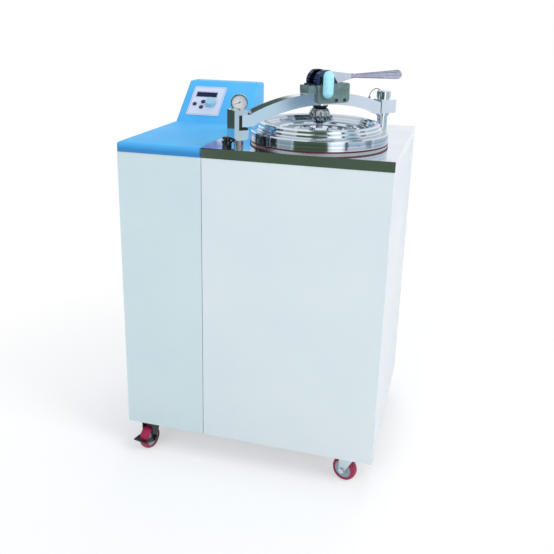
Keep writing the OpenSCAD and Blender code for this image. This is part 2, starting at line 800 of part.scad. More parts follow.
// Spring wire from a ferrule on the arm to the top of the cap
module pin_ring() {
  foot_x = ring_x - ring_r;
  foot_z = arc_at(foot_x - ferrule_r) + arm_h / 2 + 2 * gap;
  color("silver") at_arm() {
    translate([ring_x, 0, ring_z]) rotate([90, 0, 0]) rotate([0, 0, ring_from])
      rotate_extrude(angle = ring_turn) translate([ring_r, 0]) circle(ring_wire_r, $fn = 16);
    translate([foot_x, 0, foot_z]) cylinder(r = ferrule_r, h = ferrule_h);
  }
}
module guide_collar() {
  color("black") at_arm() translate([0, 0, mid_low - boss_drop - collar_h]) difference() {
    rotate_extrude() polygon([[0, 0], [collar_r * 0.8, 0], [collar_r, collar_h * 0.4], [collar_r, collar_h],
      [0, collar_h]]);
    translate([0, 0, -over]) cylinder(r = spindle_r + run_clear, h = collar_h + 2 * over);
  }
}

// Saddle over the beam, with two cheeks on top and the cam in the slot between them
module clamp_head() {
  color("lightslategray") at_arm() difference() {
    union() {
      along_y(head_w) polygon([[-head_left, head_low + catch_cut], [-head_left + catch_cut, head_low],
        [head_right - catch_cut, head_low], [head_right, head_low + catch_cut],
        [head_right, head_top - catch_cut / 2], [head_right - catch_cut / 2, head_top],
        [-head_left, head_top]]);
      translate([0, 0, pivot_z]) rod_y(barrel_r, head_w);
      translate([-flange_left, -head_flange_w / 2, seat_z])
        cube([flange_left - head_left + over, head_flange_w, head_flange_h]);
    }
    translate([-flange_left - over, -arm_t / 2, head_low - over])
      cube([flange_left + head_right + 2 * over, arm_t, seat_z - head_low + over]);
    translate([0, 0, pivot_z]) rod_y(cavity_r, cam_w + 2 * gap);
    translate([-barrel_r - over, -cam_w / 2 - gap, seat_z + head_flange_h])
      cube([barrel_r + over, cam_w + 2 * gap, barrel_r + pivot_up]);
    translate([0, 0, pivot_z]) rod_y(shaft_r + run_clear, head_w + 2 * over);
    translate([0, 0, seat_z - over]) cylinder(r = spindle_r + run_clear, h = pivot_z - seat_z);
  }
}
module head_screws() {
  color("black") at_arm() {
    for (y = [-1, 1])
      translate([-(flange_left + barrel_r) / 2, y * head_flange_w / 4, seat_z + head_flange_h])
        cylinder(r = cap_screw_r, h = cap_screw_h);
    for (side = [-1, 1], share = nose_screw_shares)
      translate([share * head_right, side * (head_w + cap_screw_h / 2) / 2, head_low + nose_screw_up])
        rod_y(cap_screw_r, cap_screw_h / 2);
  }
}
// Shaft with the spiral cam that lets the spindle rise as the lever is thrown
function cam_at(a) = a <= cam_turn ? cam_max - lid_lift * a / cam_turn
  : a < cam_back ? cam_min : cam_min + lid_lift * min(1, (a - cam_back) / cam_blend);
module cam_shaft() {
  color("silver") at_arm() translate([0, 0, pivot_z]) {
    rod_y(shaft_r, head_w + 2 * (leg_gap + leg_t));
    along_y(cam_w) polygon([for (a = [0 : 6 : 354]) cam_at(a) * [-sin(a), -cos(a)]]);
  }
}

// Forked lever that straddles the barrel
module lever_yoke() {
  half = head_w / 2 + leg_gap + leg_t;
  color("gainsboro") at_arm() {
    difference() {
      intersection() {
        along_y(2 * half) union() {
          translate([0, leg_low_z]) circle(leg_r);
          translate([0, leg_top_z]) circle(leg_r);
          translate([-leg_r, leg_low_z]) square([2 * leg_r, leg_top_z - leg_low_z]);
          polygon([[0, leg_top_z + leg_r], [neck_s, lever_z + neck_r], [neck_s, lever_z - neck_r],
            [wedge_s, wedge_low], [leg_r, leg_top_z + wedge_root], [0, leg_top_z + wedge_root]]);
        }
        linear_extrude(2 * lever_z) polygon([[-leg_r - over, -half], [leg_r, -half],
          [neck_s * 0.75, -neck_r * 2], [neck_s, -neck_r], [neck_s, neck_r], [neck_s * 0.75, neck_r * 2],
          [leg_r, half], [-leg_r - over, half]]);
      }
      translate([0, 0, pivot_z]) rod_y(barrel_r + 2 * gap, head_w + 2 * leg_gap);
      translate([-leg_r - over, -head_w / 2 - leg_gap, leg_low_z - leg_r - over])
        cube([leg_r + over, head_w + 2 * leg_gap, 2 * leg_r + leg_top_z - leg_low_z + 2 * over]);
      translate([-over, -head_w / 2 - leg_gap, leg_low_z - leg_r - over])
        cube([leg_r + 2 * over, head_w + 2 * leg_gap, wedge_low - leg_low_z + leg_r + over]);
      translate([0, 0, pivot_z]) rod_y(shaft_r, 2 * half + 2 * over);
    }
    translate([neck_s - over, 0, lever_z]) rotate([0, 90, 0]) cylinder(r = rod_r, h = rod_l);
  }
}
// Blue covers on the legs: upright half capsules
module yoke_covers() {
  face = head_w / 2 + leg_gap + leg_t;
  color("skyblue") at_arm() for (side = [-1, 1]) scale([1, side, 1]) difference() {
    translate([0, face - cover_sink, 0]) {
      translate([0, 0, leg_low_z]) cylinder(r = cover_r, h = leg_top_z - leg_low_z);
      translate([0, 0, leg_low_z]) sphere(cover_r);
      translate([0, 0, leg_top_z]) sphere(cover_r);
    }
    translate([-2 * cover_r, face - 2 * cover_r, leg_low_z - 2 * cover_r])
      cube([4 * cover_r, 2 * cover_r, leg_top_z - leg_low_z + 4 * cover_r]);
  }
}
module lever_grip() {
  l = lever_l - neck_s;
  color("silver") at_arm() translate([neck_s, 0, lever_z]) rotate([0, 90, 0]) difference() {
    union() {
      rotate_extrude() polygon([[0, 0], [neck_r * 0.9, 0], [neck_r, l * 0.04], [neck_r * 0.86, l * 0.08],
        [neck_r * 1.1, l * 0.3], [grip_r, l - grip_r], [0, l - grip_r]]);
      translate([0, 0, l - grip_r]) sphere(grip_r);
    }
    translate([0, 0, -over]) cylinder(r = rod_r, h = rod_l);
  }
}

// Spindle with a domed tip under the cam
module spindle() {
  tip = pivot_z - cam_max - gap;
  color("silver") at_arm() translate([0, 0, boss_z]) rotate_extrude()
    polygon(concat([[0, 0], [spindle_r, 0], [spindle_r, tip - boss_z - spindle_r]],
      [for (a = [60 : -15 : 0]) [dome_r * sin(a), tip - boss_z - dome_r * (1 - cos(a))]]));
}
// Fluted hand knob under the arm
module clamp_knob() {
  color("dimgray") at_arm() translate([0, 0, knob_low]) difference() {
    rotate_extrude() polygon(concat([[0, 0]],
      [for (a = [-60 : 15 : 60]) [knob_r * (knob_neck_share + (1 - knob_neck_share) * cos(a * 1.5)),
        knob_h * (0.5 + 0.5 * sin(a) / sin(60))]], [[0, knob_h]]));
    translate([0, 0, -over]) cylinder(r = spindle_r + run_clear, h = knob_h + 2 * over);
    for (i = [0 : flutes - 1]) rotate([0, 0, i * 360 / flutes])
      translate([knob_r + flute_r * 0.35, 0, -over]) cylinder(r = flute_r, h = knob_h + 2 * over);
  }
}

// Spun lid: band, stepped ring and a dished middle with beads round the spindle's boss
module lid() {
  in_r = rim_r - rim_w - lid_edge;
  color("silver") translate([vessel_x, vessel_y, deck_z]) rotate_extrude($fn = 120) polygon(concat(
    [[0, dish_z + under_shares[0][1] * lid_t]],
    [for (s = under_shares) [s[0] * vessel_r, dish_z + s[1] * lid_t]],
    [[in_r - lid_edge, dish_z - lid_t * 0.8], [rim_r - 2 * lid_t, tier_z - 2 * lid_t],
      [rim_r - lid_t, tier_z - 2 * lid_t], [rim_r - lid_t, band_z - lid_t], [gasket_in, lid_base + lid_t],
      [gasket_in, lid_base], [lid_r, lid_base], [lid_r, band_z - lid_edge], [lid_r - lid_edge, band_z],
      [tier_r + lid_edge, band_z], [tier_r, band_z + lid_edge], [tier_r, step_z - step_in / 2],
      [rim_r, step_z + step_in / 2], [rim_r, tier_z - lid_edge], [rim_r - lid_edge, tier_z],
      [rim_r - rim_w, tier_z], [in_r, tier_z - lid_edge], [in_r - lid_t, dish_z + lid_t * 0.4]],
    [for (s = dish_shares) [s[0] * vessel_r, dish_z + s[1] * lid_t]],
    [[boss_r, dish_z - lid_t * 0.8], [boss_r * 0.9, boss_z], [0, boss_z]]));
}
module gasket() {
  color("darkred") translate([vessel_x, vessel_y, deck_z + flange_t + gap]) difference() {
    cylinder(r = lid_r, h = gasket_t);
    translate([0, 0, -over]) cylinder(r = gasket_in, h = gasket_t + 2 * over);
  }
}

// Casters: plates with kingpins on the frame, forks with their axle bolts, wheels and the brake
module caster_plates() {
  color("silver") for (i = [0 : 3]) at_caster(i) {
    translate([-plate_l / 2, -plate_w / 2, caster_h - plate_t]) cube([plate_l, plate_w, plate_t]);
    translate([0, 0, fork_top() - bridge_t - gap]) cylinder(r = kingpin_r, h = bridge_t + 2 * gap + over);
    translate([0, 0, fork_top() - bridge_t - gap - kingpin_head_h])
      cylinder(r = kingpin_head_r, h = kingpin_head_h);
  }
}
function fork_top() = caster_h - plate_t - gap;
function leg_in() = wheel_w / 2 + fork_room;
module fork(i) {
  shoulder = leg_in() + fork_t;
  color(CASTERS[i][3] ? "darkslategray" : "silver") turned(i) {
    difference() {
      union() {
        translate([0, 0, fork_top() - bridge_t]) cylinder(r = shoulder + fork_t, h = bridge_t);
        translate([0, -shoulder, fork_top() - bridge_t]) cube([trail + hub_r, 2 * shoulder, bridge_t]);
        for (y = [-1, 1]) along_y(fork_t, y * (leg_in() + fork_t / 2)) union() {
          polygon([[-trail * 0.6, fork_top()], [trail + hub_r, fork_top()], [trail + hub_r, wheel_r],
            [trail - hub_r, wheel_r], [-trail * 0.6, fork_top() - bridge_t]]);
          translate([trail, wheel_r]) circle(hub_r);
        }
      }
      translate([0, 0, fork_top() - bridge_t - over])
        cylinder(r = kingpin_r + run_clear, h = bridge_t + 2 * over);
      translate([trail, 0, wheel_r]) rod_y(axle_r + run_clear, 2 * shoulder + 2 * over);
    }
    translate([trail, 0, wheel_r]) {
      rod_y(axle_r, 2 * axle_half(i) + 2 * axle_head_h);
      for (y = [-1, 1]) translate([0, y * (axle_half(i) + axle_head_h / 2), 0]) rotate([90, 0, 0])
        translate([0, 0, -axle_head_h / 2]) cylinder(r = axle_head_r, h = axle_head_h, $fn = 6);
    }
  }
}
// Half the length of an axle between its heads, which hold the pedal's arms too on the caster with a brake
function axle_half(i) = CASTERS[i][3] ? pedal_half() + gap : leg_in() + fork_t + gap;
function pedal_half() = leg_in() + fork_t + gap + pedal_t;
module caster_fork_fl() { fork(0); }
module caster_fork_fr() { fork(1); }
module caster_fork_rl() { fork(2); }
module caster_fork_rr() { fork(3); }
module core(i) {
  color("gray") turned(i) translate([trail, 0, wheel_r]) difference() {
    union() {
      rod_y(core_r, wheel_w - 2 * fork_t);
      rod_y(hub_r, wheel_w);
    }
    rod_y(axle_r + run_clear, wheel_w + 2 * over);
  }
}
module caster_core_fl() { core(0); }
module caster_core_fr() { core(1); }
module caster_core_rl() { core(2); }
module caster_core_rr() { core(3); }
module tread(i) {
  shoulder = wheel_w * 0.18;
  half = [[wheel_r - shoulder, wheel_w / 2], [wheel_r - shoulder / 4, wheel_w / 2 - shoulder],
    [wheel_r, wheel_w / 2 - 2 * shoulder]];
  color("firebrick") turned(i) translate([trail, 0, wheel_r]) rotate([90, 0, 0]) rotate_extrude()
    polygon(concat([[core_r, -wheel_w / 2]], [for (p = half) [p[0], -p[1]]],
      [for (k = [2 : -1 : 0]) half[k]], [[core_r, wheel_w / 2]]));
}
module caster_tread_fl() { tread(0); }
module caster_tread_fr() { tread(1); }
module caster_tread_rl() { tread(2); }
module caster_tread_rr() { tread(3); }
// Brake pedal on the axle bolt of the front left caster
module brake_pedal_fl() {
  half = pedal_half();
  pad_z = wheel_r + pedal_rise;
  color("darkslategray") turned(0) difference() {
    union() {
      for (y = [-1, 1]) along_y(pedal_t, y * (half - pedal_t / 2)) union() {
        translate([trail, wheel_r]) circle(hub_r);
        polygon([[trail, wheel_r + hub_r], [pedal_l, pad_z + pedal_pad_t], [pedal_l, pad_z],
          [trail, wheel_r - hub_r]]);
      }
      translate([trail + wheel_r + pedal_inset, -half, pad_z])
        cube([pedal_out - pedal_inset, 2 * half, pedal_pad_t]);
    }
    translate([trail, 0, wheel_r]) rod_y(axle_r + run_clear, 2 * half + 2 * over);
  }
}

base_frame();
floor_pan();
upper_frame();
front_panel_left();
front_panel_right();
side_panel_left();
side_panel_right();
rear_panel();
panel_screws();
deck();
console_cover();
control_plate();
control_board();
display_window();
button_left();
button_upper();
button_lower();
control_knob();
vessel();
heater_coil();
chamber_floor();
drain_pipe();
gauge_stem();
gauge_case();
gauge_dial();
gauge_needle();
gauge_lens();
relief_valve();
catch_block();
catch_studs();
pivot_post();
swing_arm();
pivot_cap();
pin_ring();
guide_collar();
clamp_head();
head_screws();
cam_shaft();
lever_yoke();
yoke_covers();
lever_grip();
spindle();
clamp_knob();
lid();
gasket();
caster_plates();
caster_fork_fl();
caster_fork_fr();
caster_fork_rl();
caster_fork_rr();
caster_core_fl();
caster_core_fr();
caster_core_rl();
caster_core_rr();
caster_tread_fl();
caster_tread_fr();
caster_tread_rl();
caster_tread_rr();
brake_pedal_fl();
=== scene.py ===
import json
import math

import bmesh
import bpy
from mathutils import Matrix, Vector


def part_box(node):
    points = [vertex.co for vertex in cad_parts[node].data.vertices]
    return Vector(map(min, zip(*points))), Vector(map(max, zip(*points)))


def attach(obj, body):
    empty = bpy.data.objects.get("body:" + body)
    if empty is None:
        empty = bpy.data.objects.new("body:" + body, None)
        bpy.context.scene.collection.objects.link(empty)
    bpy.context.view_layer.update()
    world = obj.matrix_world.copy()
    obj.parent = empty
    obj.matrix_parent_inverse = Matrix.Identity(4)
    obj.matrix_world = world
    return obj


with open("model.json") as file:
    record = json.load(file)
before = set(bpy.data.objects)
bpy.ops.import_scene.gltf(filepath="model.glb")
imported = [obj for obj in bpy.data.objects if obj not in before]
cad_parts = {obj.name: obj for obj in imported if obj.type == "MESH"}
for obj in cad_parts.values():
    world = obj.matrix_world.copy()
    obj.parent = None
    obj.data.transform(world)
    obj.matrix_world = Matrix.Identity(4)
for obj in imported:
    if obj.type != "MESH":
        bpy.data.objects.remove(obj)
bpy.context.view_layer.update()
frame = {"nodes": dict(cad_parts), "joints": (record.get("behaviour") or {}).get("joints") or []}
nodes = frame["nodes"]
MM = 0.001


# Cabinet: folded steel sheets on a welded frame, finished in pale powder coat.
# The coat is sprayed on and baked, which leaves a faint orange peel and a soft satin sheen.
# The front sheets' returns are notched round the frame, and eight screws hold the back.
def linear(code):
    """Turns an sRGB hex colour into the linear colour that a shader reads."""
    channels = [int(code[i:i + 2], 16) / 255 for i in (1, 3, 5)]
    return [c / 12.92 if c <= 0.04045 else ((c + 0.055) / 1.055) ** 2.4 for c in channels] + [1.0]


def add(tree, kind, inputs=None, **settings):
    """Adds a node with its settings, and sets each input to a value or links it to another node."""
    node = tree.nodes.new("ShaderNode" + kind)
    for name, value in settings.items():
        setattr(node, name, value)
    for name, value in (inputs or {}).items():
        if isinstance(value, bpy.types.Node):
            tree.links.new(value.outputs[0], node.inputs[name])
        elif isinstance(value, bpy.types.NodeSocket):
            tree.links.new(value, node.inputs[name])
        else:
            node.inputs[name].default_value = value
    return node


def blank(name):
    """Opens a material, and returns it with its empty tree."""
    material = bpy.data.materials.new(name)
    material.use_nodes = True
    material.node_tree.nodes.clear()
    return material, material.node_tree


def millimetres(tree):
    """The coordinates of the piece, in millimetres."""
    place = add(tree, "TexCoord").outputs["Object"]
    return add(tree, "VectorMath", {0: place, 1: (1 / MM, 1 / MM, 1 / MM)}, operation="MULTIPLY")


def start(name):
    """Opens a material, and returns it with its tree and the piece's coordinates."""
    material, tree = blank(name)
    return material, tree, millimetres(tree)


def grain(tree, coords, size, detail=2.0, stretch=(1, 1, 1)):
    """Noise whose features are about size millimetres across, longer along an axis by its stretch."""
    step = [1 / (size * s) for s in stretch]
    scaled = add(tree, "VectorMath", {0: coords, 1: step}, operation="MULTIPLY")
    return add(tree, "TexNoise", {"Vector": scaled, "Scale": 1.0, "Detail": detail, "Roughness": 0.55})


def spread(tree, source, low, high, start_at=0.3, end_at=0.7):
    """Runs a colour or a number from low to high as the source goes from start_at to end_at."""
    if isinstance(low, str):
        ramp = add(tree, "ValToRGB", {"Fac": source})
        for element, place, code in zip(ramp.color_ramp.elements, (start_at, end_at), (low, high)):
            element.position = place
            element.color = linear(code)
        return ramp
    return add(tree, "MapRange", {"Value": source, "From Min": start_at, "From Max": end_at,
                                  "To Min": low, "To Max": high})


def close(material, tree, bump=None, depth=0.1, **surface):
    """Ends a material with its surface; bump is a height pattern, depth its height in millimetres."""
    inputs = {name.replace("_", " "): value for name, value in surface.items()}
    if bump is not None:
        inputs["Normal"] = add(tree, "Bump", {"Height": bump, "Strength": 1.0, "Distance": depth * MM})
    shader = add(tree, "BsdfPrincipled", inputs)
    add(tree, "OutputMaterial", {"Surface": shader})
    return material


def dress(material, *names):
    """Gives a material to the frame's nodes of those names."""
    for name in names:
        mesh = nodes[name].data
        mesh.materials.clear()
        mesh.materials.append(material)


def soften(width, *names, segments=2, angle=40):
    """Rounds the sharp edges of the frame's nodes by a radius in millimetres."""
    for name in names:
        bevel = nodes[name].modifiers.new("edge", "BEVEL")
        bevel.width = width * MM
        bevel.segments = segments
        bevel.limit_method = "ANGLE"
        bevel.angle_limit = math.radians(angle)
        bevel.harden_normals = True


def powder_coat(name, pale, deep):
    """Baked polyester powder: satin, with an orange peel about 2 mm across and cloudy patches."""
    material, tree, coords = start(name)
    clouds = grain(tree, coords, 260, 3.0)
    peel = grain(tree, coords, 2.2, 1.0)
    return close(material, tree, peel, 0.03, Base_Color=spread(tree, clouds, deep, pale),
                 Roughness=spread(tree, peel, 0.38, 0.46), IOR=1.5)


# Lit and shaded copies of one coat: the left front sheet's is darker, painted shade, as the light falls
# from the right.
dress(powder_coat("powder_coat_left_shaded", "#CFDEDE", "#CADADB"), "front_panel_left")
dress(powder_coat("powder_coat_right_lit", "#DAE2E2", "#D5DEDF"), "front_panel_right")
dress(powder_coat("powder_coat_sides", "#DCE1E3", "#D6DCDF"),
      "side_panel_left", "side_panel_right", "rear_panel")
dress(powder_coat("powder_coat_frame", "#B4C0C6", "#A8B4BA"), "base_frame", "upper_frame")
soften(0.6, "front_panel_left", "front_panel_right", "side_panel_left", "side_panel_right")


# Zinc-plated parts: the floor pan, the rear screws, the catch's studs and the casters' plates.
# They are pressed or turned from mild steel and plated in a bath.
def zinc_plate(name, deep, pale):
    """Bright zinc: a faint blue cast and a fine spangle about 3 mm across."""
    material, tree, coords = start(name)
    spangle = grain(tree, coords, 3.0, 2.0)
    return close(material, tree, spangle, 0.01, Base_Color=spread(tree, spangle, deep, pale),
                 Metallic=1.0, Roughness=spread(tree, spangle, 0.3, 0.45))


dress(zinc_plate("zinc_plate", "#9FA4A8", "#BEC3C8"),
      "floor_pan", "panel_screws", "caster_plates", "catch_studs")


# Deck: a tray of mirror-polished stainless sheet with a folded skirt, set on the cabinet's top.
# A fine directional polish runs from left to right, so reflections draw out along it.
def polished_sheet(name, pale, deep, rough, run=(40, 1, 1), pitch=0.5):
    """Stainless steel, polished in one direction: scratches of pitch mm, longer along the run."""
    material, tree, coords = start(name)
    lines = grain(tree, coords, pitch, 2.0, run)
    clouds = grain(tree, coords, 120, 2.0)
    return close(material, tree, lines, 0.004, Base_Color=spread(tree, clouds, deep, pale),
                 Metallic=1.0, Roughness=spread(tree, lines, rough * 0.75, rough * 1.25))


def deck_steel():
    """The same steel, with a painted blue reflection of the console in its colour.

    The painted reflection lies on the deck's top, in the corner beside the column, and fades to the right
    and the back.
    """
    material = polished_sheet("polished_deck", "#DEE4F2", "#D2DAE8", 0.1)
    tree = material.node_tree
    shader = [node for node in tree.nodes if node.type == "BSDF_PRINCIPLED"][0]
    plain = shader.inputs["Base Color"].links[0].from_socket
    place = add(tree, "SeparateXYZ", {0: millimetres(tree)})
    low, high = (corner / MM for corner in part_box("deck"))
    fade_x, fade_y, skin = (30, 78), (40, 125), 1.5
    near_column = spread(tree, place.outputs["X"], 1.0, 0.0, *(low.x + x for x in fade_x))
    near_front = spread(tree, place.outputs["Y"], 1.0, 0.0, *(low.y + y for y in fade_y))
    on_top = add(tree, "Math", {0: place.outputs["Z"], 1: high.z - skin}, operation="GREATER_THAN")
    # cast: the painted blue reflection of the console, on the deck's top near the column.
    cast = add(tree, "Math", {0: near_column, 1: near_front}, operation="MULTIPLY")
    cast = add(tree, "Math", {0: cast, 1: on_top}, operation="MULTIPLY")
    colour = add(tree, "Mix", {"Factor": cast, "A": plain, "B": linear("#1C3CA8")}, data_type="RGBA")
    tree.links.new(colour.outputs["Result"], shader.inputs["Base Color"])
    return material


dress(deck_steel(), "deck")
soften(1.8, "deck")


# Console: a vacuum-formed ABS cover, moulded in sky blue, set over the left column.
# The skin is satin with a very fine leather grain, so it holds its blue even where it mirrors the sky.
def formed_abs():
    """Sky-blue ABS, darkened by painted shade over its lowest 25 mm, round its foot."""
    material, tree, coords = start("sky_blue_abs")
    skin = grain(tree, coords, 1.2, 2.0)
    clouds = grain(tree, coords, 180, 2.0)
    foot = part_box("console_cover")[0].z / MM
    lip_low, lip_high = 8, 25
    height = add(tree, "SeparateXYZ", {0: coords}).outputs["Z"]
    # Painted shade: the blue darkens towards the cover's foot, fully dark below 8 mm.
    lip = spread(tree, height, 0.0, 1.0, foot + lip_low, foot + lip_high)
    pale = spread(tree, clouds, "#4CB2EE", "#5CBEF4")
    colour = add(tree, "Mix", {"Factor": lip, "A": linear("#3484C0"), "B": pale}, data_type="RGBA")
    return close(material, tree, skin, 0.02, Base_Color=colour.outputs["Result"],
                 Roughness=spread(tree, skin, 0.42, 0.52), IOR=1.45, Specular_IOR_Level=0.3)


dress(formed_abs(), "console_cover")


# Control plate: a pale polyester film over a moulded panel, with a smoked window over the display.
# The film is printed with a line round its edge, a line round the window, and strokes beside the knob.
def panel_film():
    """Polyester film: an even colour and a fine matt tooth, which keeps reflections faint."""
    material, tree, coords = start("panel_film")
    tooth = grain(tree, coords, 0.8, 1.0)
    return close(material, tree, tooth, 0.01, Base_Color=spread(tree, tooth, "#CCD6EA", "#D8E0F2"),
                 Roughness=0.42, IOR=1.5)


def smoked_acrylic():
    """Cast acrylic, smoked almost to black with a blue tint, and glossy."""
    material, tree, coords = start("smoked_acrylic")
    cells = grain(tree, coords, 4.0, 1.0)
    return close(material, tree, None, Base_Color=spread(tree, cells, "#080C2C", "#101848"), Roughness=0.2,
                 IOR=1.49, Specular_IOR_Level=0.2)


def enamel(name, pale, deep, rough=0.4):
    """Stoved enamel or ink: smooth and even, with faint clouds about 3 mm across."""
    material, tree, coords = start(name)
    clouds = grain(tree, coords, 3.0, 2.0)
    return close(material, tree, None, Base_Color=spread(tree, clouds, deep, pale), Roughness=rough,
                 IOR=1.5)


def linked(name, mesh, material):
    """Puts a mesh in the scene as an object of one material."""
    mesh.materials.clear()
    mesh.materials.append(material)
    piece = bpy.data.objects.new(name, mesh)
    bpy.context.scene.collection.objects.link(piece)
    return piece


def shaped(name, shape, material):
    """Puts a shape of bmesh in the scene as an object, and frees it."""
    mesh = bpy.data.meshes.new(name)
    shape.to_mesh(mesh)
    shape.free()
    return linked(name, mesh, material)


def fixed(piece, place, body):
    """Sets a piece in its place on one of the frame's bodies."""
    piece.matrix_world = place
    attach(piece, body)


def printed(name, strokes, place, ink, body):
    """Ink on a flat face: outlines in the face's own X and Y, in metres, laid on it as thin faces."""
    shape = bmesh.new()
    for outline in strokes:
        shape.faces.new([shape.verts.new((x, y, 0)) for x, y in outline])
    fixed(shaped(name, shape, ink), place, body)


def stroke(angle, inner, outer, width):
    """A radial stroke between two radii."""
    along = Vector((math.cos(angle), math.sin(angle)))
    side = Vector((-along.y, along.x)) * width / 2
    return [along * inner - side, along * outer - side, along * outer + side, along * inner + side]


def border(low, high, width):
    """The four sides of a line round a rectangle, between its corners."""
    (left, bottom), (right, top) = low, high
    inner_left, inner_right = left + width, right - width
    inner_bottom, inner_top = bottom + width, top - width
    return [[(left, bottom), (right, bottom), (right, inner_bottom), (left, inner_bottom)],
            [(left, inner_top), (right, inner_top), (right, top), (left, top)],
            [(left, inner_bottom), (inner_left, inner_bottom), (inner_left, inner_top), (left, inner_top)],
            [(inner_right, inner_bottom), (right, inner_bottom), (right, inner_top),
             (inner_right, inner_top)]]


dress(panel_film(), "control_plate")
dress(smoked_acrylic(), "display_window")

half_plate, ink_lift = 1.0, 0.12
edge_line, window_line, window_rim = 0.9 * MM, 1.0 * MM, 1.5 * MM
side_margin, end_margin = 3 * MM, 4 * MM
plate_low, plate_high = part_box("control_plate")
knob_joint = [joint for joint in frame["joints"] if joint["name"] == "dial_turn"][0]
outward = Vector(knob_joint["axis"]).normalized()
up_slope = outward.cross(Vector((1, 0, 0)))
plate_turn = Matrix(((1, up_slope.x, outward.x, 0), (0, up_slope.y, outward.y, 0),
                     (0, up_slope.z, outward.z, 0), (0, 0, 0, 1)))
plate_middle = (plate_low + plate_high) / 2
plate_face = Matrix.Translation(plate_middle + outward * (half_plate + ink_lift) * MM) @ plate_turn
plate_ink = enamel("plate_ink", "#7C86B4", "#707AAA", 0.5)

half_width = (plate_high.x - plate_low.x) / 2 - side_margin
half_height = ((plate_high.z - plate_low.z) / up_slope.z) / 2 - end_margin
printed("plate_border", border((-half_width, -half_height), (half_width, half_height), edge_line),
        plate_face, plate_ink, "cabinet")

window_low, window_high = (plate_face.inverted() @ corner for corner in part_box("display_window"))
window_frame = border((window_low.x - window_rim, window_low.y - window_rim),
                      (window_high.x + window_rim, window_high.y + window_rim), window_line)
printed("window_border", window_frame, plate_face, plate_ink, "cabinet")

hub = plate_face.inverted() @ Vector(knob_joint["pos_m"])
first_mark, mark_pitch, mark_count = -72, 18, 9
mark_inner, mark_outer, mark_width = 19.5 * MM, 22.5 * MM, 0.9 * MM
knob_marks = []
for step in range(mark_count):
    mark = stroke(math.radians(first_mark + mark_pitch * step), mark_inner, mark_outer, mark_width)
    knob_marks.append([spot + hub.xy for spot in mark])
printed("knob_marks", knob_marks, plate_face, plate_ink, "cabinet")


# Board behind the plate: green solder mask over glass fibre.
# It hangs under the buttons' stems and carries the knob's shaft.
def solder_mask():
    """Green lacquer, glossy, with the weave of the glass just showing through it."""
    material, tree, coords = start("solder_mask")
    weave = grain(tree, coords, 1.5, 1.0)
    return close(material, tree, weave, 0.02, Base_Color=spread(tree, weave, "#12432A", "#1B5A38"),
                 Roughness=0.35, IOR=1.55)


dress(solder_mask(), "control_board")


# Push buttons and the control knob: caps in dark blue silicone and pale blue ABS.
# They are injection-moulded, and the knob is pushed on to its shaft.
def moulded_cap(name, pale, deep, rough):
    """Moulded plastic or rubber: an even colour with a fine skin, matt or glossy by its roughness."""
    material, tree, coords = start(name)
    skin = grain(tree, coords, 0.6, 1.0)
    return close(material, tree, skin, 0.01, Base_Color=spread(tree, skin, deep, pale), Roughness=rough,
                 IOR=1.46)


dress(moulded_cap("button_silicone", "#2C3654", "#222C48", 0.5),
      "button_left", "button_upper", "button_lower")
dress(moulded_cap("knob_abs", "#A8D2E0", "#96C2D4", 0.25), "control_knob")
soften(0.5, "control_knob", "button_left", "button_upper", "button_lower")


# Vessel: drawn and welded stainless steel, pickled inside, with a turned flange.
# The heater's sheath is a nickel alloy gone straw-brown, and the chamber's floor is a drilled plate.
dress(polished_sheet("turned_steel", "#C4C8CA", "#B2B6B8", 0.28, (1, 1, 30), 0.6),
      "vessel", "chamber_floor")
dress(polished_sheet("heater_sheath", "#8A8378", "#6E675C", 0.4, (1, 1, 1), 2.0), "heater_coil")


# Drain: a brass valve and pipe under the vessel, with a flanged socket in the rear sheet.
# The pipe is drawn, so its fine lines run to the back, along it.
dress(polished_sheet("drawn_brass", "#C9A862", "#B0904F", 0.3, (1, 30, 1), 0.6), "drain_pipe")


# Gauge: a chromed case on a stainless stem, with a white enamelled dial and a black pointer.
# A glass lens closes the case, and the scale is printed on the enamel.
def chrome(name, pale="#D4D8DC", deep="#C2C6CA", rough=0.07):
    """Chrome over nickel: a mirror with the faint haze of handling."""
    material, tree, coords = start(name)
    haze = grain(tree, coords, 14, 3.0)
    return close(material, tree, None, Base_Color=spread(tree, haze, deep, pale), Metallic=1.0,
                 Roughness=spread(tree, haze, rough * 0.7, rough * 1.6))


def lens_glass():
    """Thin clear glass, which shows the dial and only a faint sheen of its own."""
    material, tree, coords = start("lens_glass")
    haze = grain(tree, coords, 8, 2.0)
    return close(material, tree, None, Base_Color=spread(tree, haze, "#F4F8F8", "#FFFFFF"), Roughness=0.02,
                 IOR=1.46, Alpha=0.12)


dress(chrome("blued_chrome", "#AEBACA", "#9CA8BA", 0.12), "gauge_case")
dress(polished_sheet("stem_steel", "#B8BCBE", "#A4A8AA", 0.2, (1, 1, 20), 0.5), "gauge_stem")
dress(enamel("dial_enamel", "#F8F8F6", "#F0F0EE"), "gauge_dial")
dress(enamel("pointer_black", "#141414", "#0C0C0C", 0.35), "gauge_needle")
dress(lens_glass(), "gauge_lens")

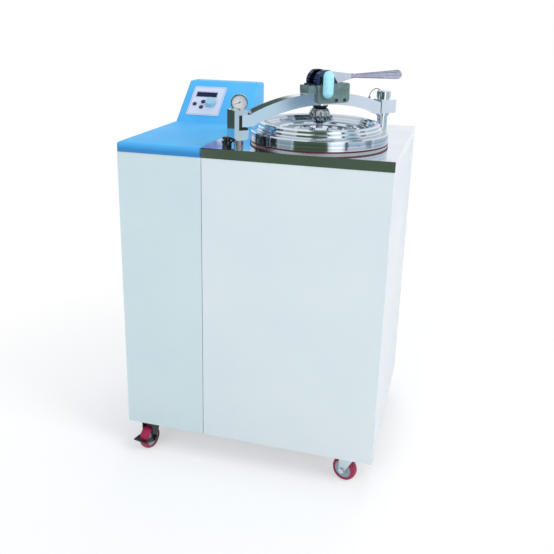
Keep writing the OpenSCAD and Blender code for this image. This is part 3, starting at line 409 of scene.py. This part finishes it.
# The scale has long strokes at the numbers and short ones between them.
# It runs clockwise from the pointer's rest over its whole turn.
first_angle, sweep, numbers, shorts = 202, 225, 5, 5
gauge_yaw, half_dial, scale_lift = 15, 0.5, 0.05
number_at, long_from, short_from, stroke_end = 0.56, 0.74, 0.82, 0.92
long_width, short_width, number_size = 0.7 * MM, 0.4 * MM, 4.4 * MM
dial_low, dial_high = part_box("gauge_dial")
dial_radius = (dial_high.z - dial_low.z) / 2
gauge_turn = Matrix.Rotation(math.radians(gauge_yaw), 4, "Z") @ Matrix.Rotation(math.pi / 2, 4, "X")
dial_face = (Matrix.Translation((dial_low + dial_high) / 2) @ gauge_turn
             @ Matrix.Translation((0, 0, (half_dial + scale_lift) * MM)))
scale_ink = enamel("scale_ink", "#6A727C", "#606872", 0.5)
marks = []
for step in range(numbers * shorts + 1):
    at_number = step % shorts == 0
    angle = math.radians(first_angle - sweep * step / (numbers * shorts))
    marks.append(stroke(angle, dial_radius * (long_from if at_number else short_from),
                        dial_radius * stroke_end, long_width if at_number else short_width))
printed("gauge_scale", marks, dial_face, scale_ink, "cabinet")
for number in range(numbers + 1):
    letters = bpy.data.curves.new("numeral", "FONT")
    letters.body = str(number)
    letters.size = number_size
    letters.align_x = letters.align_y = "CENTER"
    source = bpy.data.objects.new("numeral", letters)
    bpy.context.scene.collection.objects.link(source)
    bpy.context.view_layer.update()
    mesh = bpy.data.meshes.new_from_object(source.evaluated_get(bpy.context.evaluated_depsgraph_get()))
    bpy.data.objects.remove(source)
    angle = math.radians(first_angle - sweep * number / numbers)
    out = number_at * dial_radius
    spot = Matrix.Translation((out * math.cos(angle), out * math.sin(angle), 0))
    fixed(linked("gauge_number_%d" % number, mesh, scale_ink), dial_face @ spot, "cabinet")


# Relief valve: brass, turned on a lathe and plated in dark nickel.
# A short tube joins it to the gauge's stem.
dress(polished_sheet("dark_nickel", "#5A5C58", "#454743", 0.22, (1, 1, 1), 2.0), "relief_valve")


# Catch and post: machined from stainless bar and polished, and held by studs through the deck.
# A ring of drawn wire runs from a ferrule on the arm to the top of the post's cap.
dress(polished_sheet("mirror_steel", "#DCE4E8", "#CCD4DA", 0.07, (1, 1, 12), 0.8),
      "catch_block", "pivot_post", "pivot_cap")
dress(polished_sheet("drawn_wire", "#8C9296", "#7C8286", 0.25, (1, 1, 1), 0.4), "pin_ring")
soften(1.6, "catch_block", segments=3)
soften(0.5, "pivot_post", "pivot_cap")


# Buffer: a black angle set in the catch's slot, where the arm's tip lands, which makes the slot dark there.
# It stands 2.5 mm clear of the closed arm.
def moulded_angle(name, outline, width, place, material, body):
    """A straight length: a closed outline in its own X and Z, in millimetres, and its width along Y."""
    shape = bmesh.new()
    near, far = ([shape.verts.new((x * MM, side * width / 2 * MM, z * MM)) for x, z in outline]
                 for side in (-1, 1))
    shape.faces.new(near)
    shape.faces.new(far[::-1])
    for here in range(len(outline)):
        after = (here + 1) % len(outline)
        shape.faces.new((near[after], near[here], far[here], far[after]))
    bmesh.ops.recalc_face_normals(shape, faces=shape.faces)
    fixed(shaped(name, shape, material), place, body)


# Its outline is given along the arm from the lid's axis, and in heights above the floor.
lid_middle = (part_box("lid")[0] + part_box("lid")[1]) / 2
arm_frame = Matrix.Translation((lid_middle.x, lid_middle.y, 0)) @ Matrix.Rotation(math.pi / 4, 4, "Z")
slot_back, slot_mouth, slot_floor, slot_top = -241.9, -217.0, 945.6, 981.2
upright, pad, buffer_width = 7.4, 4.8, 38
face, seat = slot_back + upright, slot_floor + pad
moulded_angle("catch_buffer", [(slot_back, slot_floor), (slot_mouth, slot_floor), (slot_mouth, seat),
                               (face, seat), (face, slot_top), (slot_back, slot_top)],
              buffer_width, arm_frame, moulded_cap("buffer_black", "#1A2426", "#101819", 0.55),
              "cabinet")


# Swing arm: an arched beam of investment-cast stainless, ground and polished along its length.
# Its end block turns on the post's pin, and its tip lands in the catch.
dress(polished_sheet("ground_arm", "#ECF2F8", "#DCE6EE", 0.12, (18, 18, 1), 0.7), "swing_arm")
soften(3.0, "swing_arm", segments=3)


# Clamp head: a steel saddle over the beam, enamelled in grey-green, with the cam's barrel on top.
# The enamel is sprayed thick, which leaves a hammered skin; the barrel above it is masked and black-plated.
cam_joint = [joint for joint in frame["joints"] if joint["name"] == "lever_turn"][0]["pos_m"]


def hammered_enamel():
    """Machine enamel on cast steel: a satin skin with a shallow hammered texture about 3 mm across.

    The plated barrel is what lies over the saddle's top, and over its flange where the barrel
    bulges out towards the catch. These are measured from the cam's axis, in millimetres.
    """
    saddle_top, flange_top, bulge = -4.5, -8.8, -16.4
    along_arm = (0.7071, 0.7071, 0)
    material, tree, coords = start("grey_green_enamel")
    skin = grain(tree, coords, 3.0, 2.0)
    clouds = grain(tree, coords, 18, 3.0)
    from_cam = add(tree, "VectorMath", {0: coords, 1: Vector(cam_joint) / MM}, operation="SUBTRACT")
    out = add(tree, "VectorMath", {0: from_cam, 1: along_arm}, operation="DOT_PRODUCT").outputs["Value"]
    rise = add(tree, "SeparateXYZ", {0: from_cam}).outputs["Z"]
    over_saddle = add(tree, "Math", {0: rise, 1: saddle_top}, operation="GREATER_THAN")
    over_flange = add(tree, "Math", {0: rise, 1: flange_top}, operation="GREATER_THAN")
    in_bulge = add(tree, "Math", {0: out, 1: bulge}, operation="LESS_THAN")
    in_bulge = add(tree, "Math", {0: in_bulge, 1: over_flange}, operation="MULTIPLY")
    plated = add(tree, "Math", {0: over_saddle, 1: in_bulge}, operation="MAXIMUM")
    paint = spread(tree, clouds, "#566C6B", "#728C8B")
    colour = add(tree, "Mix", {"Factor": plated, "A": paint, "B": linear("#46587C")}, data_type="RGBA")
    rough = add(tree, "Mix", {"Factor": plated, "A": spread(tree, skin, 0.3, 0.42), "B": 0.14})
    return close(material, tree, skin, 0.03, Base_Color=colour.outputs["Result"], Metallic=plated,
                 Roughness=rough.outputs["Result"], IOR=1.5)


dress(hammered_enamel(), "clamp_head")
dress(enamel("black_oxide", "#1E1F20", "#141516", 0.4), "head_screws")
soften(1.0, "clamp_head")
soften(0.4, "head_screws")


# Lever: a forked yoke of cast stainless, two blue covers on its legs and a turned grip.
# The yoke turns a shaft whose cam bears on the spindle's domed tip.
dress(polished_sheet("cast_yoke", "#F0F0F6", "#E4E4EE", 0.2, (1, 1, 1), 1.2), "lever_yoke")
dress(chrome("lever_chrome", "#B8BACE", "#A6A8BE", 0.12), "lever_grip", "cam_shaft", "spindle")
dress(enamel("cover_abs", "#B0EAF6", "#9CE0F2", 0.3), "yoke_covers")
soften(1.2, "lever_yoke", segments=3)


# Hand knob and the collar above it: black chrome, and moulded nitrile rubber.
# The knob is fluted and turns round the spindle, which runs up through the collar and the beam.
dress(chrome("black_chrome", "#B0B8BC", "#989FA4", 0.08), "clamp_knob")
dress(moulded_cap("nitrile_rubber", "#161616", "#0E0E0E", 0.6), "guide_collar")
soften(0.6, "clamp_knob")


# Lid: spun from stainless plate, then polished on the lathe, so the scratches run round it.
# The gasket under it is a moulded silicone ring, dark red.
def spun_steel():
    """Lathe-polished steel: fine rings round the lid's axis, and shallow waves that break its reflections.

    Real rings are 0.1 mm apart, too fine to show, so they are drawn 1.2 mm apart. The colour also runs in
    concentric dark and light bands about 9 mm across, which are painted reflection streaks.
    """
    line_height, wave_height, band_height = 0.02, 0.6, 0.3
    material, tree, coords = start("spun_steel")
    axis = lid_middle / MM
    around = add(tree, "VectorMath", {0: coords, 1: (axis.x, axis.y, 0)}, operation="SUBTRACT")
    flat = add(tree, "VectorMath", {0: around, 1: (1, 1, 0)}, operation="MULTIPLY")
    radius = add(tree, "VectorMath", {0: flat}, operation="LENGTH").outputs["Value"]
    height = add(tree, "SeparateXYZ", {0: coords}).outputs["Z"]
    ring = add(tree, "CombineXYZ", {0: radius, 1: height})
    lines = grain(tree, ring, 1.2, 3.0)
    bands = grain(tree, ring, 9, 2.0)
    waves = grain(tree, coords, 38, 2.0)
    skin = add(tree, "Math", {0: waves, 1: wave_height}, operation="MULTIPLY")
    skin = add(tree, "Math", {0: lines, 1: line_height, 2: skin}, operation="MULTIPLY_ADD")
    skin = add(tree, "Math", {0: bands, 1: band_height, 2: skin}, operation="MULTIPLY_ADD")
    # Base colour from the bands: painted reflection streaks, dark and light rings round the axis.
    return close(material, tree, skin, 1.0, Base_Color=spread(tree, bands, "#A2B0BE", "#E2EAF2"),
                 Metallic=1.0, Roughness=spread(tree, lines, 0.06, 0.12))


dress(spun_steel(), "lid")
dress(moulded_cap("silicone_gasket", "#5A1A26", "#48141E", 0.5), "gasket")
soften(1.5, "lid", segments=3, angle=25)


# Casters: pressed zinc-plated forks, and a brake pedal at the front left, whose fork is coloured black like
# the pedal, as painted shade.
# The wheels have grey moulded centres and cast red treads, and turn on an axle through the fork.
def cast_tread():
    """Cast polyurethane, dark red, scuffed by the floor."""
    material, tree, coords = start("red_tread")
    scuffs = grain(tree, coords, 6, 4.0)
    return close(material, tree, scuffs, 0.05, Base_Color=spread(tree, scuffs, "#86103E", "#B41A52"),
                 Roughness=spread(tree, scuffs, 0.35, 0.6), IOR=1.5)


forks, cores, treads = (["caster_%s_%s" % (kind, corner) for corner in ("fl", "fr", "rl", "rr")]
                        for kind in ("fork", "core", "tread"))
# The front left fork is black instead of zinc: painted shade. Its brake pedal shares the black.
dress(enamel("black_pedal_and_shaded_fork", "#1B1C1E", "#131416", 0.3), forks[0], "brake_pedal_fl")
dress(zinc_plate("bright_zinc", "#C6D4DA", "#DAE6EA"), *forks[1:])
dress(moulded_cap("grey_nylon", "#A4B4B8", "#90A0A6", 0.5), *cores)
dress(cast_tread(), *treads)
soften(0.5, "brake_pedal_fl", *forks)
soften(1.0, *treads, segments=3)


# Studio: a white floor that fades into the white surround beyond the object's shadow.
# Soft boxes light it, and dark and grey cards stand round it, which only polished metal mirrors.
def seen_ray(tree):
    """1 for what the camera sees, also in a mirror or through glass, and 0 for what only gives light."""
    ray = add(tree, "LightPath")
    seen = add(tree, "Math", {0: ray.outputs["Is Camera Ray"], 1: ray.outputs["Is Glossy Ray"]},
               operation="MAXIMUM")
    return add(tree, "Math", {0: seen, 1: ray.outputs["Is Transmission Ray"]}, operation="MAXIMUM")


def studio_floor():
    """Matt white near the object, and plain white from 1.3 m out, where the floor meets the surround."""
    fade_from, fade_to, near_share = 500, 1300, 0.45
    material, tree, coords = start("studio_floor")
    flat = add(tree, "VectorMath", {0: coords, 1: (1, 1, 0)}, operation="MULTIPLY")
    away = add(tree, "VectorMath", {0: flat}, operation="LENGTH").outputs["Value"]
    cloth = add(tree, "BsdfDiffuse", {"Color": linear("#FAFAFA"), "Roughness": 0.5})
    white = add(tree, "Emission", {"Color": linear("#FFFFFF"), "Strength": 1.0})
    whiten = spread(tree, away, near_share, 1.0, fade_from, fade_to)
    fade = add(tree, "Math", {0: seen_ray(tree), 1: whiten}, operation="MULTIPLY")
    surface = add(tree, "MixShader", {"Fac": fade, 1: cloth, 2: white})
    add(tree, "OutputMaterial", {"Surface": surface})
    return material


def board(name, corners, material):
    """A flat board between its corners, in metres, for the studio round the object."""
    shape = bmesh.new()
    face = shape.faces.new([shape.verts.new(corner) for corner in corners])
    layer = shape.loops.layers.uv.new("UVMap")
    for loop, spot in zip(face.loops, ((0, 0), (1, 0), (1, 1), (0, 1))):
        loop[layer].uv = spot
    piece = shaped(name, shape, material)
    return piece


def card(name, turns, lifts, colour, feather=0.16, strength=1.0, reach=2.6):
    """A card seen only in polished metal, whose edges fade over a share of its size.

    Its turns are in degrees from the back, to the right, and its lifts in degrees above the lid.
    """
    material, tree = blank(name)
    place = add(tree, "SeparateXYZ", {0: add(tree, "TexCoord").outputs["UV"]})
    inside = []
    for axis in "XY":
        off = add(tree, "Math", {0: place.outputs[axis], 1: 0.5}, operation="SUBTRACT")
        off = add(tree, "Math", {0: off}, operation="ABSOLUTE")
        inside.append(spread(tree, off, 1.0, 0.0, 0.5 - feather, 0.5))
    cover = add(tree, "Math", {0: inside[0], 1: inside[1]}, operation="MULTIPLY")
    shade = add(tree, "Emission", {"Color": linear(colour), "Strength": strength})
    surface = add(tree, "MixShader", {"Fac": cover, 1: add(tree, "BsdfTransparent"), 2: shade})
    add(tree, "OutputMaterial", {"Surface": surface})
    (left, right), (low, high) = turns, lifts
    corners = []
    for turn, lift in ((left, low), (right, low), (right, high), (left, high)):
        turn, lift = math.radians(turn), math.radians(lift)
        corners.append(lid_middle + reach * Vector((math.sin(turn) * math.cos(lift),
                                                    math.cos(turn) * math.cos(lift), math.sin(lift))))
    piece = board(name, corners, material)
    piece.visible_camera = piece.visible_diffuse = piece.visible_shadow = piece.visible_transmission = False


floor_half = 12.0
board("floor", [(x * floor_half, y * floor_half, 0) for x, y in ((-1, -1), (1, -1), (1, 1), (-1, 1))],
      studio_floor())
card("card_front", (153, 209), (-19, 6), "#57664F", 0.05)
card("card_front_left", (207, 238), (-19, 6), "#AEBCC2")
card("card_left", (234, 268), (-19, 6), "#2A3234")
card("card_left_back", (262, 300), (-19, 3), "#4E5856")
card("card_back_left", (298, 350), (-19, 4), "#4C585C")
card("card_left_sky", (238, 300), (3, 14), "#343E42")
card("card_back_right", (10, 76), (-19, 3), "#CBD8E4")
card("card_right", (74, 90), (-19, 5), "#9AA8B0")
card("card_right_front", (87, 100), (-19, 5), "#E4E8F2", 0.1)
card("card_right_cool", (98, 122), (-19, 5), "#CCE2EE", 0.08)
card("card_right_spot", (100, 107), (-7, 0), "#64809A", 0.1, reach=2.4)
card("card_right_dark", (120, 128), (-19, 6), "#5C6C74")
card("card_bright", (127, 152), (-19, 6), "#FFFFFF", 0.2, strength=1.5)
card("card_high_left", (312, 343), (16, 36), "#4A5850")
card("card_high_side", (272, 308), (14, 44), "#7E8C96")
card("card_over_front", (196, 250), (34, 62), "#4C5658")
card("card_over_right", (60, 112), (40, 58), "#8C98A0")
card("card_over_top", (110, 210), (66, 82), "#6C767A")
card("card_back", (-15, 18), (14, 30), "#B0BAC8")
card("card_back_high", (-50, 30), (34, 60), "#7C8894")

world = bpy.data.worlds.new("studio")
bpy.context.scene.world = world
world.use_nodes = True
sky = world.node_tree
sky.nodes.clear()
soft = add(sky, "Background", {"Color": linear("#F4F8FF"), "Strength": 0.62})
white = add(sky, "Background", {"Color": linear("#FFFFFF"), "Strength": 1.0})
add(sky, "OutputWorld", {"Surface": add(sky, "MixShader", {"Fac": seen_ray(sky), 1: soft, 2: white})})


def soft_box(name, place, aim, size, power, colour="#FFFFFF"):
    """A square soft box, in metres and watts, turned to face a point."""
    lamp = bpy.data.lights.new(name, "AREA")
    lamp.energy = power
    lamp.size = size
    lamp.color = linear(colour)[:3]
    thing = bpy.data.objects.new(name, lamp)
    thing.location = place
    thing.rotation_euler = (Vector(aim) - Vector(place)).to_track_quat("-Z", "Y").to_euler()
    bpy.context.scene.collection.objects.link(thing)
    thing.visible_glossy = False


soft_box("key_right", (3.2, -1.2, 2.6), (0, 0, 0.6), 1.8, 70)
soft_box("fill_front", (-1.2, -4.0, 2.2), (0, 0, 0.7), 2.2, 45, "#EAF4FF")
soft_box("top_back", (0.2, 2.0, 3.4), (0, 0, 0.8), 2.0, 40)

eye = Vector((0.4892, -1.8631, 1.2186))
yaw, pitch, roll = 0.27555, 0.31041, 0.0196
camera = bpy.data.objects.new("camera", bpy.data.cameras.new("camera"))
bpy.context.scene.collection.objects.link(camera)
turn = (Matrix.Rotation(yaw, 4, "Z") @ Matrix.Rotation(math.pi / 2 - pitch, 4, "X")
        @ Matrix.Rotation(roll, 4, "Z"))
camera.matrix_world = Matrix.Translation(eye) @ turn
camera.data.sensor_width = 36.0
camera.data.lens = 45.29
camera.data.shift_x = 0.02456
camera.data.shift_y = -0.0758
bpy.context.scene.camera = camera
bpy.context.scene.view_settings.view_transform = "Standard"
